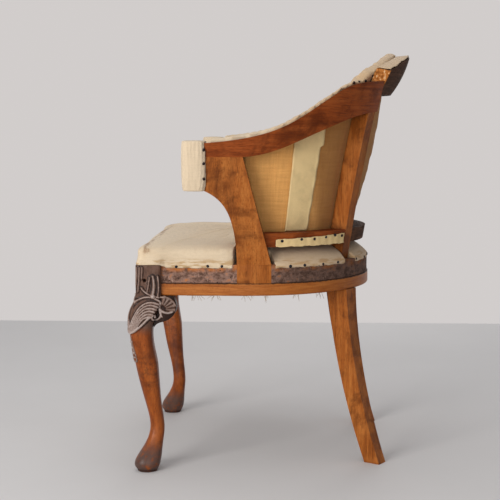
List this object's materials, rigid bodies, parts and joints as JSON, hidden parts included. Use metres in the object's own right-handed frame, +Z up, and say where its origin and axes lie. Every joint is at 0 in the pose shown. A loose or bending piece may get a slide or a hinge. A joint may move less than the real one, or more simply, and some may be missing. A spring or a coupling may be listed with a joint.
{
  "type": "upholstered tub armchair",
  "caption": "Low tub armchair with a round wooden seat frame, carved cabriole front legs, sabre back legs, sweeping arms and a stripped hessian and calico seat and back.",
  "frame": {"origin": "on the floor under the middle of the chair's bounding box", "axes": "+Z up, the chair faces -Y, +X is the sitter's left"},
  "size_m": [0.5484, 0.5354, 0.795],
  "materials": {
    "walnut": "worn satin polish",
    "stained_walnut": "dark worn polish",
    "frame_beech": "unfinished frame wood",
    "steel": "dull bare steel",
    "hessian": "coarse open weave",
    "calico": "plain cotton undercover",
    "cream_webbing": "cotton strap",
    "jute_webbing": "twilled jute strap"
  },
  "bodies": {
    "root": {"arm_pad_left": "calico", "arm_pad_right": "calico", "arm_rail_left": "walnut", "arm_rail_right": "walnut", "arm_support_left": "walnut", "arm_support_right": "walnut", "back_hessian": "hessian", "back_leg_left": "walnut", "back_leg_right": "walnut", "back_rail": "walnut", "corner_block_left": "frame_beech", "corner_block_right": "frame_beech", "corner_screws": "steel", "crest_rail": "stained_walnut", "frame_dowels": "frame_beech", "front_leg_left": "walnut", "front_leg_right": "walnut", "front_rail": "walnut", "inside_back_pad": "calico", "knee_ear_front_left": "walnut", "knee_ear_front_right": "walnut", "knee_ear_side_left": "walnut", "knee_ear_side_right": "walnut", "lower_back_rail": "frame_beech", "rail_wrap_left": "cream_webbing", "rail_wrap_right": "cream_webbing", "seat_pad": "calico", "seat_springs": "steel", "side_rail_left": "walnut", "side_rail_right": "walnut", "side_web_left": "cream_webbing", "side_web_right": "cream_webbing", "spring_hessian": "hessian", "stile_left": "walnut", "stile_right": "walnut", "stuffing_rail_left": "frame_beech", "stuffing_rail_right": "frame_beech", "webbing_crosswise": "jute_webbing", "webbing_lengthwise": "jute_webbing"}
  },
  "joints": []
}
